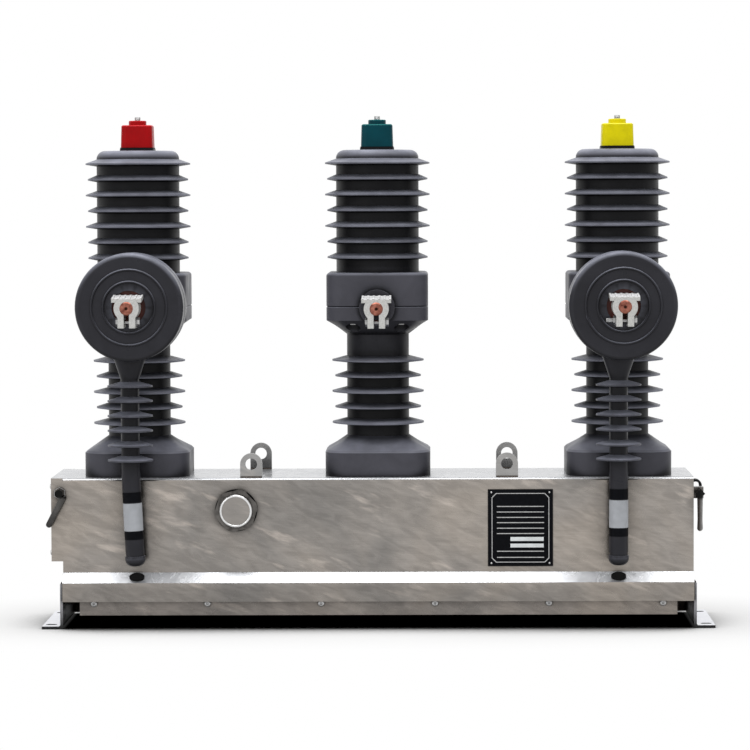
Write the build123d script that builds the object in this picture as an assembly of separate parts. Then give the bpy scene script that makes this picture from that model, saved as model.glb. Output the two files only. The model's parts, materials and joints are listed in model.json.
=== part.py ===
"""Outdoor pole-type vacuum circuit breaker with two ring current transformers.

Millimetres. +X runs along the row of poles, +Y away from the outlets and +Z up. The origin is the
centre of the foot-slot pattern, on the ground under the middle pole.
"""

from build123d import *
import math
import os

# Row of poles
PHASE_PITCH = 340.0
PHASES = {"left": -PHASE_PITCH, "middle": 0.0, "right": PHASE_PITCH}
CT_PHASES = {"left": -PHASE_PITCH, "right": PHASE_PITCH}

# Sheet-steel housing
HOUSING_LENGTH = 885.0
HOUSING_DEPTH = 165.0
HOUSING_TOP_Z = 212.0
LEDGE_TOP_Z = 79.0
LEDGE_DROP = 13.5
LEDGE_OUT = 13.0
SKIRT_BOTTOM_Z = 39.0
SHEET = 2.5
BEND_R = 6.0

# Recessed pan under the housing
PAN_BOTTOM_Z = 18.0
PAN_INSET = 15.0
PAN_END_INSET = 20.0
PAN_SHEET = 2.0
PAN_LIP_Z = 43.0

# Feet
FOOT_SHEET = 4.0
FOOT_WIDTH = 180.0
FOOT_REACH = 26.0
FOOT_BEND_R = 7.0
FOOT_TOP_Z = 64.0
SLOT_LENGTH = 16.0
SLOT_WIDTH = 10.0
SLOT_SPACING_Y = 136.0
SLOT_MARGIN = 11.5

# Support insulator
BASE_WIDTH = 148.0
BASE_HEIGHT = 36.5
BASE_CORNER_R = 34.0
BASE_EDGE_R = 3.0
SHOULDER_HEIGHT = 19.0
SUPPORT_R = 44.0
SUPPORT_SHED_R = (65.0, 61.0)
SUPPORT_SHEDS = 5
SUPPORT_SHED_PITCH = 22.1
SUPPORT_SHED_FIRST = 73.2
BLOCK_WIDTH = 143.0
BLOCK_CORNER_R = 22.0
FLARE_HEIGHT = 21.0
FLANGE_HEIGHT = 19.5
SUPPORT_HEIGHT = 239.0

# Upper insulator, which holds the interrupter
BLOCK_HEIGHT = 47.5
BLOCK_EDGE_R = 5.0
SEAM_CHAMFER = 1.2
UPPER_R = 58.5
UPPER_HEIGHT = 220.2
UPPER_SHED_R = (74.2, 71.2)
UPPER_SHEDS = 7
UPPER_SHED_PITCH = 22.2
UPPER_SHED_FIRST = 68.5
DOME_R = 11.5

# Shed section
SHED_RIM = 2.0
SHED_RISE = 5.5
SHED_FALL = 2.5

# Flange bolts under the junction block
BOLT_OFFSET_X = 34.0
BOLT_OFFSET_Y = 54.0
BOLT_AF = 13.0
BOLT_HEAD = 6.0
BOLT_POCKET_R = 10.5

# Top terminal
GASKET_WIDTH = 48.0
GASKET_HEIGHT = 3.2
CAP_WIDTH_TOP = 43.5
CAP_WIDTH_BOTTOM = 45.5
CAP_CORNER_R = 8.0
CAP_HEIGHT = 33.0
CAP_EDGE_R = 1.5
DISC_R = 12.5
DISC_HEIGHT = 6.5
TOP_STUD_R = 4.0
TOP_STUD_PROUD = 5.0

# Outlet
OUTLET_ABOVE_SEAM = {"left": 3.0, "middle": -1.0, "right": 3.0}
BOSS_R = 25.0
BOSS_PROUD = 8.0
STUD_R = 9.2
STUD_REACH = {"left": 204.0, "middle": 140.0, "right": 204.0}
STUD_TIP = 1.5

# Terminal clamp round the end of the stud
CLAMP_LENGTH = 35.5
CLAMP_OUTER_R = 17.2
CLAMP_GAP = 7.4
CLAMP_LEG_WIDTH = 24.0
CLAMP_LEG_DROP = 26.9
PAD_WIDTH = 41.0
PAD_THICKNESS = 4.8
PAD_TOP = 13.0
PAD_SLOPE = 7.0
CLAMP_BOLT_DROP = 18.7
CLAMP_BOLT_R = 3.0
CLAMP_BOLT_AF = 10.5
CLAMP_BOLT_HEAD = 5.0
CLAMP_NUT = 3.5
CLAMP_BOLT_TAIL = {"left": 4.0, "middle": 4.0, "right": 13.0}

# Ring current transformer
CT_R = 75.0
CT_BACK = 92.0
CT_FRONT = 166.0
CT_EDGE_R = 7.0
CT_BEAD_RINGS = (52.0, 35.5)
CT_BEAD_R = 1.8
CT_BORE_R = 23.5
CT_BORE_LIP = 2.0
BUSH_RECESS = 4.0

# Finned leg of the current transformer
LEG_Y = 110.0
LEG_SHIFT = -4.0
LEG_R = 12.8
LEG_FLARE_R = 24.0
LEG_FLARE_DEPTH_R = 16.0
LEG_FLARE_BOTTOM = 102.0
LEG_SHED_R = 31.5
LEG_SHEDS = 6
LEG_SHED_PITCH = 20.7
LEG_SHED_FIRST = 111.0
LEG_BOTTOM = 227.0
BOOT_LENGTH = 136.0
BOOT_END_R = 14.2
BOOT_END_LENGTH = 14.0
BOOT_END_ROUND = 10.0
BOOT_LEAN = {"left": 2.6, "right": 0.0}

# Cable port on the front
PORT_X = -198.5
PORT_Z = 166.5
PORT_NUT_AF = 56.0
PORT_NUT_TRIM = 4.0
PORT_NUT_TURN = 13.0
PORT_NUT_HEIGHT = 9.0
PORT_NECK_R = 20.0
PORT_CAP_R = 23.5
PORT_CAP_HEIGHT = 6.0

# Nameplate
PLATE_WIDTH = 91.0
PLATE_HEIGHT = 108.0
PLATE_X = 200.0
PLATE_Z = 141.0
PLATE_SHEET = 1.2
PLATE_CORNER = 6.0

# Lifting eyes
LUG_FRONT_X = {"left": -177.5, "right": 181.5}
LUG_BACK_X = {"left": -171.0, "right": 184.5}
LUG_INSET_FRONT = 9.0
LUG_INSET_BACK = 9.0
LUG_WIDTH = 31.0
LUG_FRONT_HEIGHT = 34.0
LUG_BACK_HEIGHT = 38.0
LUG_SHEET = 6.0
LUG_HOLE_R = 8.3

# Lead entries on the ledge
LEAD_SHIFT = {"left": 2.0, "right": -3.0}
GROMMET_LENGTH = 21.0
GROMMET_WIDTH = 13.0
GROMMET_PROUD = 3.0

# Side cover and its operating lever
SIDE_COVER_OUT = 16.2
SIDE_COVER_BOTTOM_Z = 95.0
SIDE_COVER_SHEET = 2.0
LEVER_DROP = 20.6
LEVER_OUT = 3.7
LEVER_NUT_AF = 14.0
LEVER_NUT_HEIGHT = 4.0
LEVER_HUB_R = 5.7
LEVER_HUB_LENGTH = 12.0
LEVER_SHAFT_R = 3.0
LEVER_SHAFT_LENGTH = 14.0
LEVER_FIT = 0.05
LEVER_GAP = 0.3
LEVER_ARM_START = (4.2, -7.5)
LEVER_ARM_LENGTH = 40.6
LEVER_ARM_TILT = 27.4
LEVER_ARM_R = 4.3

# Charging lever on the right end
CHARGE_OUT = 8.2
CHARGE_DROP = 22.7
CHARGE_HUB_WIDTH = 9.5
CHARGE_HUB_FRONT = 15.0
CHARGE_ARM_LENGTH = 53.0
CHARGE_ARM_R = 4.1
CHARGE_WAIST_R = 3.5
CHARGE_WAIST_DROP = 36.0
CHARGE_BULB_R = 4.0
BEARING_WIDTH = 14.0
BEARING_HEIGHT = 16.0
BEARING_LENGTH = 14.0
BEARING_BACK = 64.0
HOOK_R = 8.8
HOOK_SHEET = 3.4
HOOK_OUT = 2.9
HOOK_RISE = 10.0
HOOK_END_DROP = 1.0

# Places worked out from the sizes above
HALF_LENGTH = HOUSING_LENGTH / 2
HALF_DEPTH = HOUSING_DEPTH / 2
SEAM_Z = HOUSING_TOP_Z + SUPPORT_HEIGHT
CAP_Z = SEAM_Z + UPPER_HEIGHT + GASKET_HEIGHT
BLOCK_FRONT = BLOCK_WIDTH / 2
BOSS_FRONT = BLOCK_FRONT + BOSS_PROUD
FOOT_TIP = HALF_LENGTH + FOOT_SHEET + FOOT_REACH
SLOT_X = FOOT_TIP - SLOT_MARGIN
LEVER_FACE = HALF_DEPTH + LEVER_NUT_HEIGHT


def outlet_z(name):
    return SEAM_Z + OUTLET_ABOVE_SEAM[name]


def along_y(shape):
    """Turns a shape made along +Z so that it points to -Y, towards the viewer."""
    return Rot(90, 0, 0) * shape


def rod_y(radius, back, front):
    """Cylinder along Y between two distances in front of the row's centre plane."""
    return Pos(0, -(back + front) / 2, 0) * along_y(Cylinder(radius, front - back))


def hexagon_y(across_flats, back, front, turn=0):
    face = Rot(0, 0, turn) * RegularPolygon(across_flats / 2, 6, major_radius=False)
    return Pos(0, -back, 0) * along_y(extrude(face, front - back))


def shed_profile(core_r, bottom, top, rims, first, pitch):
    """Half section of a finned column: a core with one sloping shed for each rim radius."""
    points = [(0, bottom), (core_r, bottom)]
    for i, rim_r in enumerate(rims):
        z = bottom + first + i * pitch
        points += [
            (core_r, z - SHED_RIM / 2 - SHED_FALL),
            (rim_r, z - SHED_RIM / 2),
            (rim_r, z + SHED_RIM / 2),
            (core_r, z + SHED_RIM / 2 + SHED_RISE),
        ]
    points += [(core_r, top), (0, top)]
    return make_face(Plane.XZ * Polyline(*points, close=True))


def rounded_block(width, corner_r, bottom, height):
    return Pos(0, 0, bottom) * extrude(RectangleRounded(width, width, corner_r), height)


def housing_section(inset):
    """Section of the housing across X, moved in by a sheet thickness for its inside."""
    half = HALF_DEPTH - inset
    skirt = HALF_DEPTH + LEDGE_OUT - inset
    top = HOUSING_TOP_Z - inset
    lower = LEDGE_TOP_Z - inset
    skirt_top = LEDGE_TOP_Z - LEDGE_DROP - inset
    points = [
        (-half, top), (half, top), (half, lower), (skirt, skirt_top), (skirt, SKIRT_BOTTOM_Z),
        (-skirt, SKIRT_BOTTOM_Z), (-skirt, skirt_top), (-half, lower),
    ]
    face = make_face(Plane.YZ * Polyline(*points, close=True))
    corners = face.vertices().sort_by(Axis.Z)[-2:]
    return fillet(corners, BEND_R - inset)


def make_housing():
    start = Pos(-HALF_LENGTH, 0, 0)
    along = (1, 0, 0)
    outside = extrude(start * housing_section(0), HOUSING_LENGTH, dir=along)
    inside = extrude(start * housing_section(SHEET), HOUSING_LENGTH, dir=along)
    cover = outside - inside
    cover -= Pos(PORT_X, 0, PORT_Z) * rod_y(PORT_NECK_R, HALF_DEPTH - 2 * SHEET, HALF_DEPTH + SHEET)
    end = extrude(start * housing_section(SHEET), SHEET, dir=along)
    other_end = Pos(HOUSING_LENGTH - SHEET, 0, 0) * end
    return {"housing_cover": cover, "left_end_plate": end, "right_end_plate": other_end}


def make_pan():
    """Recessed bottom pan, hung by its lip between the skirts and the end plates."""
    lip_x = HOUSING_LENGTH - 2 * SHEET
    lip_y = 2 * (HALF_DEPTH + LEDGE_OUT - SHEET)
    tub_x = lip_x - 2 * PAN_END_INSET
    tub_y = lip_y - 2 * PAN_INSET
    height = PAN_LIP_Z - PAN_BOTTOM_Z
    middle = Pos(0, 0, PAN_BOTTOM_Z + height / 2)
    lip = Pos(0, 0, PAN_LIP_Z - PAN_SHEET / 2) * Box(lip_x, lip_y, PAN_SHEET)
    hollow = Pos(0, 0, PAN_SHEET) * Box(tub_x - 2 * PAN_SHEET, tub_y - 2 * PAN_SHEET, height)
    return lip + middle * Box(tub_x, tub_y, height) - middle * hollow


def make_foot(side):
    """Bent angle foot: a leg outside the end plate and a slotted flange that turns outwards."""
    outer = HALF_LENGTH + FOOT_SHEET
    points = [
        (HALF_LENGTH, FOOT_TOP_Z), (outer, FOOT_TOP_Z), (outer, FOOT_SHEET),
        (FOOT_TIP, FOOT_SHEET), (FOOT_TIP, 0), (HALF_LENGTH, 0),
    ]
    face = make_face(Plane.XZ * Polyline(*points, close=True))
    heel = face.vertices().sort_by_distance((HALF_LENGTH, 0, 0))[0]
    face = fillet(heel, FOOT_BEND_R)
    crook = face.vertices().sort_by_distance((outer, 0, FOOT_SHEET))[0]
    face = fillet(crook, FOOT_BEND_R - FOOT_SHEET)
    foot = extrude(face, FOOT_WIDTH / 2, both=True)
    slot = extrude(SlotOverall(SLOT_LENGTH, SLOT_WIDTH), 3 * FOOT_SHEET, both=True)
    for y in (-SLOT_SPACING_Y / 2, SLOT_SPACING_Y / 2):
        foot -= Pos(SLOT_X, y, 0) * slot
    return foot if side > 0 else mirror(foot, Plane.YZ)


def bolt_places():
    signs = (-1, 1)
    return [(sx * BOLT_OFFSET_X, sy * BOLT_OFFSET_Y) for sx in signs for sy in signs]


def make_support():
    """Lower insulator: square base, shoulder, five sheds and the flange under the block."""
    column_bottom = BASE_HEIGHT + SHOULDER_HEIGHT
    column_top = SUPPORT_HEIGHT - FLANGE_HEIGHT
    flare_bottom = column_top - FLARE_HEIGHT
    rims = [SUPPORT_SHED_R[i % 2] for i in range(SUPPORT_SHEDS)]
    first = SUPPORT_SHED_FIRST - column_bottom
    column = revolve(
        shed_profile(SUPPORT_R, column_bottom, flare_bottom, rims, first, SUPPORT_SHED_PITCH), Axis.Z
    )
    base = rounded_block(BASE_WIDTH, BASE_CORNER_R, 0, BASE_HEIGHT)
    base = chamfer(base.faces().sort_by(Axis.Z)[-1].edges(), BASE_EDGE_R)
    top_width = BASE_WIDTH - 2 * BASE_EDGE_R
    shoulder = loft([
        Pos(0, 0, BASE_HEIGHT) * RectangleRounded(top_width, top_width, BASE_CORNER_R - BASE_EDGE_R),
        Pos(0, 0, column_bottom) * Circle(SUPPORT_R),
    ])
    flare = loft([
        Pos(0, 0, flare_bottom) * Circle(SUPPORT_R),
        Pos(0, 0, column_top) * RectangleRounded(BLOCK_WIDTH, BLOCK_WIDTH, BLOCK_CORNER_R),
    ])
    flange = rounded_block(BLOCK_WIDTH, BLOCK_CORNER_R, column_top, FLANGE_HEIGHT)
    flange = chamfer(flange.faces().sort_by(Axis.Z)[-1].edges(), SEAM_CHAMFER)
    body = base + shoulder + column + flare + flange
    pocket = Pos(0, 0, flare_bottom) * extrude(Circle(BOLT_POCKET_R), FLARE_HEIGHT)
    for x, y in bolt_places():
        body -= Pos(x, y, 0) * pocket
    return Pos(0, 0, HOUSING_TOP_Z) * body


def make_flange_bolts():
    head = extrude(RegularPolygon(BOLT_AF / 2, 6, major_radius=False), -BOLT_HEAD)
    z = SEAM_Z - FLANGE_HEIGHT
    return Compound(children=[Pos(x, y, z) * head for x, y in bolt_places()])


def make_upper(name):
    """Upper insulator: junction block with the outlet boss, seven sheds and a domed top."""
    rims = [UPPER_SHED_R[1]] + [UPPER_SHED_R[i % 2] for i in range(1, UPPER_SHEDS)]
    first = UPPER_SHED_FIRST - BLOCK_HEIGHT
    column = revolve(
        shed_profile(UPPER_R, BLOCK_HEIGHT, UPPER_HEIGHT, rims, first, UPPER_SHED_PITCH), Axis.Z
    )
    column = fillet(column.faces().sort_by(Axis.Z)[-1].edges(), DOME_R)
    block = rounded_block(BLOCK_WIDTH, BLOCK_CORNER_R, 0, BLOCK_HEIGHT)
    block = chamfer(block.faces().sort_by(Axis.Z)[0].edges(), SEAM_CHAMFER)
    block = fillet(block.faces().sort_by(Axis.Z)[-1].edges(), BLOCK_EDGE_R)
    boss = Pos(0, 0, OUTLET_ABOVE_SEAM[name]) * rod_y(BOSS_R, BLOCK_FRONT, BOSS_FRONT)
    gasket = rounded_block(GASKET_WIDTH, CAP_CORNER_R, UPPER_HEIGHT, GASKET_HEIGHT)
    return Pos(0, 0, SEAM_Z) * (column + block + boss + gasket)


def make_cap():
    """Square tapered terminal cap with the round disc moulded on its top."""
    taper = loft([
        RectangleRounded(CAP_WIDTH_BOTTOM, CAP_WIDTH_BOTTOM, CAP_CORNER_R),
        Pos(0, 0, CAP_HEIGHT) * RectangleRounded(CAP_WIDTH_TOP, CAP_WIDTH_TOP, CAP_CORNER_R),
    ])
    taper = chamfer(taper.faces().sort_by(Axis.Z)[-1].edges(), CAP_EDGE_R)
    disc = Pos(0, 0, CAP_HEIGHT) * extrude(Circle(DISC_R), DISC_HEIGHT)
    disc = fillet(disc.faces().sort_by(Axis.Z)[-1].edges(), CAP_EDGE_R)
    return Pos(0, 0, CAP_Z) * (taper + disc)


def make_top_stud():
    return Pos(0, 0, CAP_Z + CAP_HEIGHT + DISC_HEIGHT) * extrude(Circle(TOP_STUD_R), TOP_STUD_PROUD)


def make_outlet_stud(name):
    stud = extrude(Circle(STUD_R), STUD_REACH[name] - BOSS_FRONT)
    stud = chamfer(stud.faces().sort_by(Axis.Z)[-1].edges(), STUD_TIP)
    return Pos(0, -BOSS_FRONT, outlet_z(name)) * along_y(stud)


def make_clamp(name):
    """Terminal clamp: a split ring round the stud, two legs and a sloping pad on top."""
    leg_middle = -CLAMP_LEG_DROP / 2
    legs = Pos(0, leg_middle) * Rectangle(CLAMP_LEG_WIDTH, CLAMP_LEG_DROP)
    gap = Pos(0, -CLAMP_LEG_DROP) * Rectangle(CLAMP_GAP, 2 * CLAMP_LEG_DROP)
    body = extrude(Circle(CLAMP_OUTER_R) + legs, CLAMP_LENGTH)
    pad_edge = Pos(0, PAD_TOP, CLAMP_LENGTH) * Rot(PAD_SLOPE, 0, 0)
    pad = Pos(0, -PAD_THICKNESS / 2, -CLAMP_LENGTH / 2) * Box(PAD_WIDTH, PAD_THICKNESS, CLAMP_LENGTH)
    above = Pos(0, CLAMP_OUTER_R, 0) * Box(4 * CLAMP_OUTER_R, 2 * CLAMP_OUTER_R, 4 * CLAMP_LENGTH)
    body = body + pad_edge * pad - pad_edge * above
    body -= extrude(Circle(STUD_R) + gap, CLAMP_LENGTH)
    body -= Pos(0, -CLAMP_BOLT_DROP, CLAMP_LENGTH / 2) * Rot(0, 90, 0) * Cylinder(
        CLAMP_BOLT_R, 2 * CLAMP_LEG_WIDTH
    )
    start = STUD_REACH[name] - STUD_TIP - CLAMP_LENGTH
    return Pos(0, -start, outlet_z(name)) * along_y(body)


def make_clamp_bolt(name):
    """Clamp screw across the legs, with its head on the right and its nut on the left."""
    half = CLAMP_LEG_WIDTH / 2
    tail = CLAMP_BOLT_TAIL[name]
    hexagon = RegularPolygon(CLAMP_BOLT_AF / 2, 6, major_radius=False)
    shank = Pos(0, 0, -half - tail) * extrude(Circle(CLAMP_BOLT_R), tail + 2 * half)
    head = Pos(0, 0, half) * extrude(hexagon, CLAMP_BOLT_HEAD)
    nut = Pos(0, 0, -half - CLAMP_NUT) * extrude(hexagon, CLAMP_NUT)
    y = -(STUD_REACH[name] - STUD_TIP - CLAMP_LENGTH / 2)
    return Pos(0, y, outlet_z(name) - CLAMP_BOLT_DROP) * Rot(0, 90, 0) * (shank + head + nut)


def make_ct(name):
    """Ring transformer body with its finned leg and smooth boot, as one moulding."""
    disc = along_y(extrude(Circle(CT_R), CT_FRONT - CT_BACK))
    disc = Pos(0, -CT_BACK, 0) * fillet(disc.edges().filter_by(GeomType.CIRCLE), CT_EDGE_R)
    for ring_r in CT_BEAD_RINGS:
        disc += Pos(0, -CT_FRONT, 0) * along_y(Torus(ring_r, CT_BEAD_R))
    bore = rod_y(CT_BORE_R, CT_BACK - CT_BORE_LIP, CT_FRONT + CT_BORE_LIP)
    rims = [LEG_SHED_R] * LEG_SHEDS
    first_low = LEG_BOTTOM - LEG_SHED_FIRST - (LEG_SHEDS - 1) * LEG_SHED_PITCH
    finned = revolve(
        shed_profile(LEG_R, -LEG_BOTTOM, -LEG_FLARE_BOTTOM, rims, first_low, LEG_SHED_PITCH), Axis.Z
    )
    flare = loft([
        Pos(0, 0, -LEG_FLARE_BOTTOM) * Circle(LEG_R),
        Pos(0, 0, CT_EDGE_R - CT_R) * Ellipse(LEG_FLARE_R, LEG_FLARE_DEPTH_R),
    ])
    boot = extrude(Circle(LEG_R), -(BOOT_LENGTH - BOOT_END_LENGTH))
    end = Pos(0, 0, -BOOT_LENGTH) * extrude(Circle(BOOT_END_R), BOOT_END_LENGTH)
    end = fillet(end.faces().sort_by(Axis.Z)[0].edges(), BOOT_END_ROUND)
    knee = Sphere(LEG_R)
    boot = Pos(0, 0, -LEG_BOTTOM) * (knee + Rot(0, -BOOT_LEAN[name], 0) * (boot + end))
    leg = Pos(LEG_SHIFT, -LEG_Y, 0) * (finned + flare + boot)
    return Pos(0, 0, outlet_z(name)) * (disc + leg - bore)


def make_bush(name):
    """Cast-resin bush that centres the transformer on the outlet stud."""
    tube = rod_y(CT_BORE_R, BOSS_FRONT, CT_FRONT - BUSH_RECESS)
    tube -= rod_y(STUD_R, BOSS_FRONT - BUSH_RECESS, CT_FRONT)
    return Pos(0, 0, outlet_z(name)) * tube


def make_port():
    front = HALF_DEPTH + PORT_NUT_HEIGHT
    nut = hexagon_y(PORT_NUT_AF, HALF_DEPTH, front, PORT_NUT_TURN)
    nut &= rod_y(PORT_NUT_AF / 2 + PORT_NUT_TRIM / 2, HALF_DEPTH, front)
    neck = rod_y(PORT_NECK_R, HALF_DEPTH - 3 * SHEET, front)
    cap = rod_y(PORT_CAP_R, front, front + PORT_CAP_HEIGHT)
    cap = fillet(cap.faces().sort_by(Axis.Y)[0].edges(), PORT_CAP_HEIGHT / 2)
    place = Pos(PORT_X, 0, PORT_Z)
    return {"cable_port_nut": place * (nut + neck), "cable_port_cap": place * cap}


def make_nameplate():
    plate = chamfer(Rectangle(PLATE_WIDTH, PLATE_HEIGHT).vertices(), PLATE_CORNER)
    return Pos(PLATE_X, -HALF_DEPTH, PLATE_Z) * along_y(extrude(plate, PLATE_SHEET))


def make_lug(x, y, height):
    """Upright lifting eye on the top of the housing."""
    r = LUG_WIDTH / 2
    eye = Circle(r) + Pos(0, -(height - r) / 2) * Rectangle(LUG_WIDTH, height - r)
    eye -= Circle(LUG_HOLE_R)
    plate = Pos(0, LUG_SHEET / 2, height - r) * along_y(extrude(eye, LUG_SHEET))
    return Pos(x, y, HOUSING_TOP_Z) * plate


def make_grommet():
    """Oval rubber lead entry, square to the sloping ledge."""
    slope = math.degrees(math.atan2(LEDGE_DROP, LEDGE_OUT))
    middle_y = HALF_DEPTH + LEDGE_OUT / 2
    middle_z = LEDGE_TOP_Z - LEDGE_DROP / 2
    body = extrude(Ellipse(GROMMET_LENGTH / 2, GROMMET_WIDTH / 2), GROMMET_PROUD)
    return Pos(0, -middle_y, middle_z) * Rot(slope, 0, 0) * body


def make_side_cover():
    """Shallow cover on the left end, open towards the end plate, with the lever's bearing nut."""
    height = HOUSING_TOP_Z - SIDE_COVER_BOTTOM_Z
    wall = SIDE_COVER_SHEET
    middle = Pos(-HALF_LENGTH - SIDE_COVER_OUT / 2, 0, HOUSING_TOP_Z - height / 2)
    outside = Box(SIDE_COVER_OUT, HOUSING_DEPTH, height)
    inside = Pos(wall, 0, 0) * Box(SIDE_COVER_OUT, HOUSING_DEPTH - 2 * wall, height - 2 * wall)
    place = Pos(-HALF_LENGTH - LEVER_OUT, 0, HOUSING_TOP_Z - LEVER_DROP)
    nut = hexagon_y(LEVER_NUT_AF, HALF_DEPTH, LEVER_FACE)
    bore = rod_y(LEVER_SHAFT_R + LEVER_FIT, HALF_DEPTH - 2 * wall, LEVER_FACE)
    return middle * (outside - inside) + place * nut - place * bore


def make_left_lever():
    """Operating lever: round hub, shaft and a leaning round-ended arm."""
    back = LEVER_FACE + LEVER_GAP
    front = back + LEVER_HUB_LENGTH
    hub = rod_y(LEVER_HUB_R, back, front)
    shaft = rod_y(LEVER_SHAFT_R, front - LEVER_HUB_LENGTH - LEVER_SHAFT_LENGTH, front)
    arm = extrude(Circle(LEVER_ARM_R), -LEVER_ARM_LENGTH) + Sphere(LEVER_ARM_R)
    arm += Pos(0, 0, -LEVER_ARM_LENGTH) * Sphere(LEVER_ARM_R)
    x, z = LEVER_ARM_START
    arm = Pos(x, -(back + front) / 2, z) * Rot(0, LEVER_ARM_TILT, 0) * arm
    return Pos(-HALF_LENGTH - LEVER_OUT, 0, HOUSING_TOP_Z - LEVER_DROP) * (hub + shaft + arm)


def make_charging_bearing():
    """Bearing block on the right end plate, and the hooked strap that guards the hub."""
    place = Pos(HALF_LENGTH, 0, HOUSING_TOP_Z - CHARGE_DROP)
    middle = BEARING_BACK + BEARING_LENGTH / 2
    block = Pos(BEARING_WIDTH / 2, -middle, 0) * Box(BEARING_WIDTH, BEARING_LENGTH, BEARING_HEIGHT)
    block -= Pos(CHARGE_OUT, 0, 0) * rod_y(
        LEVER_SHAFT_R + LEVER_FIT, BEARING_BACK - SHEET, BEARING_BACK + BEARING_LENGTH + SHEET
    )
    ring = Circle(HOOK_R) - Circle(HOOK_R - HOOK_SHEET)
    kept = 2 * HOOK_R
    ring &= Pos(kept / 2 - HOOK_OUT, kept / 2 - HOOK_END_DROP) * Rectangle(kept, kept)
    hook = Pos(HOOK_OUT, -BEARING_BACK, HOOK_RISE) * along_y(extrude(ring, BEARING_LENGTH))
    return {"charging_bearing": place * block, "charging_guard": place * hook}


def make_charging_lever():
    """Charging lever: square hub on its point, shaft and a waisted arm with a bulb end."""
    back = BEARING_BACK + BEARING_LENGTH + LEVER_GAP
    front = HALF_DEPTH + CHARGE_HUB_FRONT
    hub = Rot(0, 45, 0) * Pos(0, -(back + front) / 2, 0) * Box(
        CHARGE_HUB_WIDTH, front - back, CHARGE_HUB_WIDTH
    )
    shaft = rod_y(LEVER_SHAFT_R, BEARING_BACK, front)
    bulb_z = CHARGE_BULB_R - CHARGE_ARM_LENGTH
    points = [
        (0, 0), (CHARGE_ARM_R, 0), (CHARGE_WAIST_R, -CHARGE_WAIST_DROP),
        (CHARGE_BULB_R, bulb_z), (0, bulb_z),
    ]
    arm = revolve(make_face(Plane.XZ * Polyline(*points, close=True)), Axis.Z)
    arm = Pos(0, -HALF_DEPTH - CHARGE_HUB_FRONT / 2, 0) * (arm + Pos(0, 0, bulb_z) * Sphere(CHARGE_BULB_R))
    return Pos(HALF_LENGTH + CHARGE_OUT, 0, HOUSING_TOP_Z - CHARGE_DROP) * (hub + shaft + arm)


def make_all():
    nodes = make_housing()
    nodes.update(make_port())
    nodes["bottom_pan"] = make_pan()
    nodes["left_foot"] = make_foot(-1)
    nodes["right_foot"] = make_foot(1)
    nodes["nameplate"] = make_nameplate()
    nodes["left_side_cover"] = make_side_cover()
    nodes["left_lever"] = make_left_lever()
    nodes.update(make_charging_bearing())
    nodes["charging_lever"] = make_charging_lever()
    for side in ("left", "right"):
        front_y = LUG_INSET_FRONT - HALF_DEPTH
        back_y = HALF_DEPTH - LUG_INSET_BACK
        nodes["lug_front_" + side] = make_lug(LUG_FRONT_X[side], front_y, LUG_FRONT_HEIGHT)
        nodes["lug_back_" + side] = make_lug(LUG_BACK_X[side], back_y, LUG_BACK_HEIGHT)

    support, bolts = make_support(), make_flange_bolts()
    cap, top_stud = make_cap(), make_top_stud()
    for name, x in PHASES.items():
        place = Pos(x, 0, 0)
        nodes["support_insulator_" + name] = place * support
        nodes["upper_insulator_" + name] = place * make_upper(name)
        nodes["flange_bolts_" + name] = place * bolts
        nodes["top_cap_" + name] = place * cap
        nodes["top_stud_" + name] = place * top_stud
        nodes["outlet_stud_" + name] = place * make_outlet_stud(name)
        nodes["outlet_clamp_" + name] = place * make_clamp(name)
        nodes["clamp_bolt_" + name] = place * make_clamp_bolt(name)

    grommet = make_grommet()
    for name, x in CT_PHASES.items():
        nodes["current_transformer_" + name] = Pos(x, 0, 0) * make_ct(name)
        nodes["ct_bush_" + name] = Pos(x, 0, 0) * make_bush(name)
        nodes["lead_grommet_" + name] = Pos(x + LEAD_SHIFT[name], 0, 0) * grommet
    return nodes


os.makedirs("parts", exist_ok=True)
for node, shape in make_all().items():
    export_step(shape, "parts/" + node + ".step")
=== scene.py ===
"""Outdoor pole-type vacuum circuit breaker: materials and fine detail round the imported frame.

Metres, +X along the row of poles, +Y away from the outlets, +Z up. Sizes of fine detail are in
millimetres and turned into metres where a mesh is made.
"""

import json
import math

import bmesh
import bpy
from mathutils import Matrix, Vector


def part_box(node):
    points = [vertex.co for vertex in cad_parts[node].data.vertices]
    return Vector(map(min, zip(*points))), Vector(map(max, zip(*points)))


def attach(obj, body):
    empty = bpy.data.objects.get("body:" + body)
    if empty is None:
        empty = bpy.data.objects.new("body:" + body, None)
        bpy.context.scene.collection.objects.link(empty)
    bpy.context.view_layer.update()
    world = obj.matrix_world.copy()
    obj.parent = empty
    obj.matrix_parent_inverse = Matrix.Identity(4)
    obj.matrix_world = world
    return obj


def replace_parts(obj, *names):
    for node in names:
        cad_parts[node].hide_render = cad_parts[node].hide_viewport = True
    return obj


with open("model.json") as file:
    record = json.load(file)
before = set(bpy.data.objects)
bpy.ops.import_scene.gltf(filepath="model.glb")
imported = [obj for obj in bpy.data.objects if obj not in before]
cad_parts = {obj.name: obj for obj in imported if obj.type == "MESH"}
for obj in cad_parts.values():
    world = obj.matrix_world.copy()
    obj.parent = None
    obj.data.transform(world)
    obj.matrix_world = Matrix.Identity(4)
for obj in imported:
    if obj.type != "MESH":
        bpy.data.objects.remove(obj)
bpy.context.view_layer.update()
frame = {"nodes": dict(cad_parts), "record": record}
NODES = frame["nodes"]
PHASES = ("left", "middle", "right")
CT_PHASES = ("left", "right")
MM = 0.001

# Camera, as the photograph was taken, metres and radians
CAMERA_PLACE = (0.0776, -4.7885, 0.6076)
CAMERA_YAW = 0.01712
CAMERA_PITCH = 0.05342
CAMERA_ROLL = -0.00416
CAMERA_FOCAL_PX = 3368.8
PHOTO_PX = 750
SENSOR_MM = 36.0

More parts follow.
